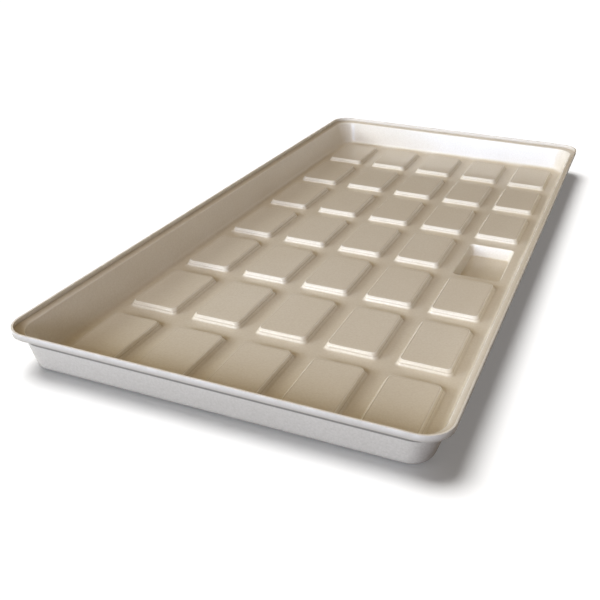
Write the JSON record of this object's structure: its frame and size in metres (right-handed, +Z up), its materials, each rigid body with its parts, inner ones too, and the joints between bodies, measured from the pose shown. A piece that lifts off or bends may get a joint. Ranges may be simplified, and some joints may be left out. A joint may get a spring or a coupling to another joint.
{
  "type": "flood tray",
  "caption": "Shallow rectangular flood tray with a floor of raised pads, drain channels, a recessed sump and a stiff lipped rim.",
  "frame": {"origin": "under the middle of the tray's plan, level with the lower end of the hose tail", "axes": "+Y along the long side, +X across towards the side with the sump, +Z up out of the open top"},
  "size_m": [0.6096, 1.2192, 0.1094],
  "materials": {
    "tray_plastic": "cream formed plastic sheet, satin with a very fine grain",
    "fitting_plastic": "black moulded plastic, satin",
    "gasket_rubber": "matt black rubber"
  },
  "bodies": {
    "tray": {"tray_shell": "tray_plastic", "drain_fitting_body": "fitting_plastic", "drain_gasket": "gasket_rubber", "drain_locknut": "fitting_plastic"},
    "strainer": {"drain_strainer": "fitting_plastic"}
  },
  "joints": [
    {"name": "strainer_lift", "type": "slide", "parent": "tray", "child": "strainer", "axis": [0, 0, 1], "range_m": [0, 0.02]}
  ]
}
